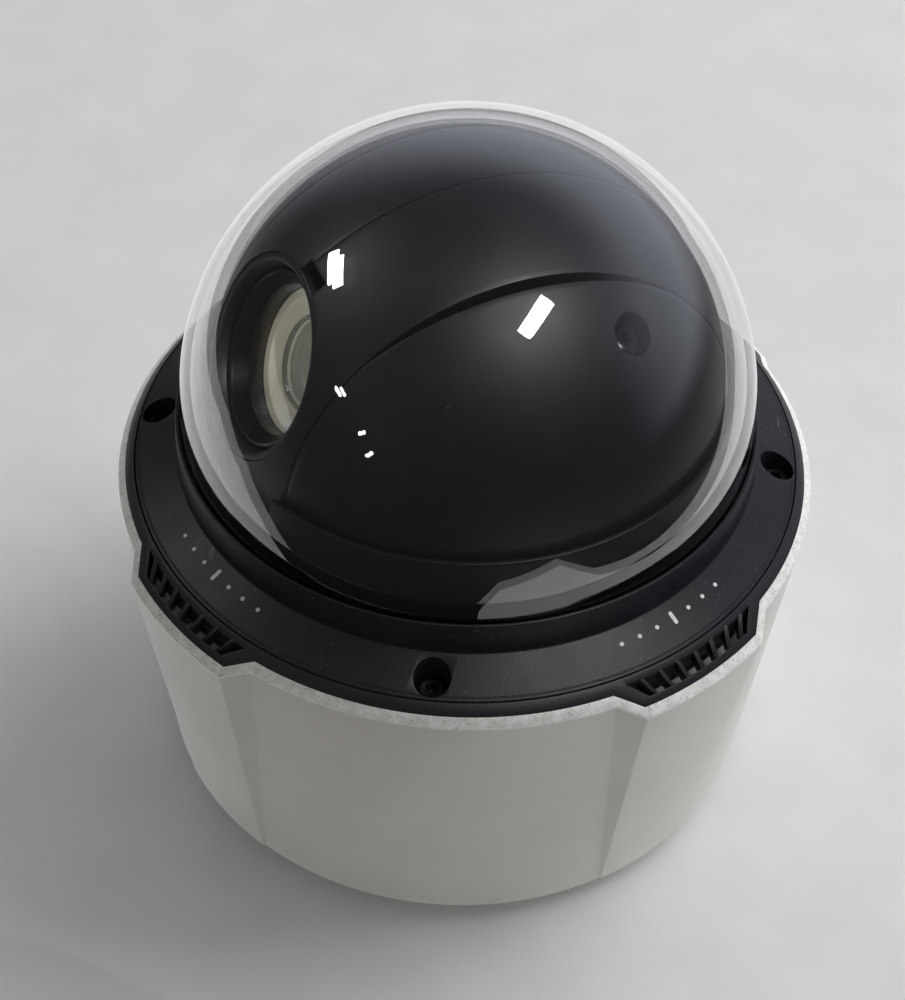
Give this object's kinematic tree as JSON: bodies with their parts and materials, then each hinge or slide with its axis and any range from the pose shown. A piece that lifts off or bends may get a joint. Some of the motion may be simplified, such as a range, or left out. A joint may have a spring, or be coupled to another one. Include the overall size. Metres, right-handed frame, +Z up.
{
  "type": "pan-tilt-zoom dome camera",
  "caption": "Security camera in a coned white housing: a black ball with a zoom lens pans and tilts under a clear dome held by a black bevelled ring with slotted vents.",
  "frame": {"origin": "centre of the mounting base's underside, on the pan axis", "axes": "+Z up along the pan axis towards the top of the clear dome; the screws of the dome ring lie along X and Y"},
  "size_m": [0.179, 0.179, 0.1873],
  "materials": {
    "housing_paint": "satin white paint, worn along the rim",
    "black_trim": "fine matte black moulding",
    "ball_black": "satin black lacquer with a soft sheen",
    "clear_dome": "clear polycarbonate, lightly dusty",
    "lens_glass": "coated optical glass",
    "inner_glass": "coated optical glass",
    "lens_black": "matt black barrel",
    "screw_steel": "plain steel",
    "dark_screw": "blackened steel",
    "seal_rubber": "matt rubber",
    "board_green": "solder mask",
    "chassis_metal": "brushed sheet",
    "motor_steel": "plated steel",
    "gear_nylon": "natural nylon",
    "pinion_brass": "machined brass",
    "grey_plastic": "dark grey moulding",
    "jack_metal": "tinned shield",
    "terminal_green": "green moulding",
    "button_red": "red moulding",
    "base_paint": "grey painted casting"
  },
  "bodies": {
    "housing": {"housing_shell": "housing_paint", "housing_floor": "chassis_metal", "base_plate": "base_paint", "base_screws": "screw_steel", "trim_ring": "black_trim", "dome_ring": "black_trim", "dome_screws": "dark_screw", "dome_bubble": "clear_dome", "dome_gasket": "seal_rubber", "connector_tray": "grey_plastic", "network_jack": "jack_metal", "power_terminal": "terminal_green", "button_switch": "grey_plastic", "main_board": "board_green", "board_standoffs": "screw_steel", "chassis_posts": "screw_steel", "chassis_plate": "chassis_metal", "pan_bearing": "motor_steel", "pan_motor": "motor_steel", "slip_ring_stator": "grey_plastic", "fan_frame": "grey_plastic"},
    "pan_head": {"pan_platform": "grey_plastic", "pan_gear": "gear_nylon", "pan_shroud": "ball_black", "yoke_arm_near": "chassis_metal", "yoke_arm_far": "chassis_metal", "tilt_bearings": "pinion_brass", "tilt_motor": "motor_steel", "side_cover_near": "ball_black", "side_cover_far": "ball_black", "cover_screws": "dark_screw", "slip_ring_rotor": "pinion_brass"},
    "tilt_head": {"ball_shell_near": "ball_black", "ball_shell_far": "ball_black", "tilt_shafts": "screw_steel", "tilt_gear": "gear_nylon", "camera_bracket": "chassis_metal", "camera_block": "grey_plastic", "sensor_board": "board_green", "lens_hood": "lens_black", "lens_barrel": "lens_black", "front_lens": "lens_glass"},
    "pan_drive": {"pan_pinion": "pinion_brass"},
    "tilt_drive": {"tilt_pinion": "pinion_brass"},
    "zoom_group": {"zoom_cell": "lens_black", "zoom_lens": "inner_glass"},
    "focus_group": {"focus_cell": "lens_black", "focus_lens": "inner_glass"},
    "fan": {"fan_rotor": "grey_plastic"},
    "button": {"reset_button": "button_red"}
  },
  "joints": [
    {"name": "pan_turn", "type": "hinge", "parent": "housing", "child": "pan_head", "pos_m": [0, 0, 0.05], "axis": [0, 0, 1], "continuous": true},
    {"name": "tilt_turn", "type": "hinge", "parent": "pan_head", "child": "tilt_head", "pos_m": [0, 0, 0.1178], "axis": [-0.454, 0.891, 0], "range_deg": [-36, 64]},
    {"name": "pan_pinion_spin", "type": "hinge", "parent": "housing", "child": "pan_drive", "pos_m": [0.0361, 0, 0.047], "axis": [0, 0, 1], "continuous": true},
    {"name": "tilt_pinion_spin", "type": "hinge", "parent": "pan_head", "child": "tilt_drive", "pos_m": [0, 0, 0.0889], "axis": [-0.454, 0.891, 0], "range_deg": [-320, 180]},
    {"name": "zoom_slide", "type": "slide", "parent": "tilt_head", "child": "zoom_group", "axis": [-0.8008, -0.408, 0.4384], "range_m": [0, 0.008]},
    {"name": "focus_slide", "type": "slide", "parent": "tilt_head", "child": "focus_group", "axis": [-0.8008, -0.408, 0.4384], "range_m": [-0.002, 0.005]},
    {"name": "fan_spin", "type": "hinge", "parent": "housing", "child": "fan", "pos_m": [-0.0395, 0, 0.032], "axis": [0, 0, 1], "continuous": true},
    {"name": "button_press", "type": "slide", "parent": "housing", "child": "button", "axis": [0, 0, 1], "range_m": [0, 0.0008], "stiffness_N_per_m": 400, "springref_m": -0.0006}
  ],
  "couplings": [
    {"joint": "pan_pinion_spin", "follows": "pan_turn", "ratio": -5},
    {"joint": "tilt_pinion_spin", "follows": "tilt_turn", "ratio": -5}
  ]
}
